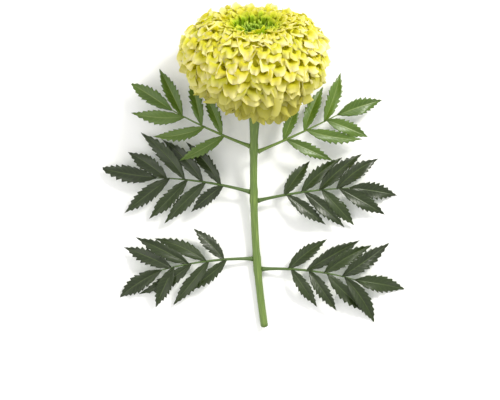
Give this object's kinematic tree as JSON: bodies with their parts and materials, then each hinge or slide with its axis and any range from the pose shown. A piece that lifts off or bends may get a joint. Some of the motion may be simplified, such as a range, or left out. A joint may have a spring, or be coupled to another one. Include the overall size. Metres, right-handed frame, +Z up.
{
  "type": "african marigold flower",
  "caption": "Picked African marigold: a full globe-shaped double yellow head with a green centre on a cut stem with toothed feather-shaped leaves, lying on a table.",
  "frame": {"origin": "the spot under the head where its pressed petals lie on the table", "axes": "+Z up from the table; +Y from the cut end of the stem towards the face of the flower, which looks up at a slant; +X to the right seen from above with the head at the top"},
  "size_m": [0.2156, 0.2276, 0.0932],
  "materials": {
    "ray_petal": "soft satin petal, lemon yellow with pale cream edges",
    "young_floret": "unopened florets, lime green",
    "cup_green": "ribbed green bract cup, semi-matt",
    "stem_green": "finely ribbed green stem, semi-matt",
    "leaf_green": "dark green leaf with a waxy semi-gloss"
  },
  "bodies": {
    "root": {"bloom": "ray_petal", "centre_florets": "young_floret", "involucre_cup": "cup_green", "stem": "stem_green", "leaf_upper_left": "leaf_green", "leaf_upper_right": "leaf_green", "leaf_middle_left": "leaf_green", "leaf_middle_right": "leaf_green", "leaf_lower_left": "leaf_green", "leaf_lower_right": "leaf_green"}
  },
  "joints": []
}
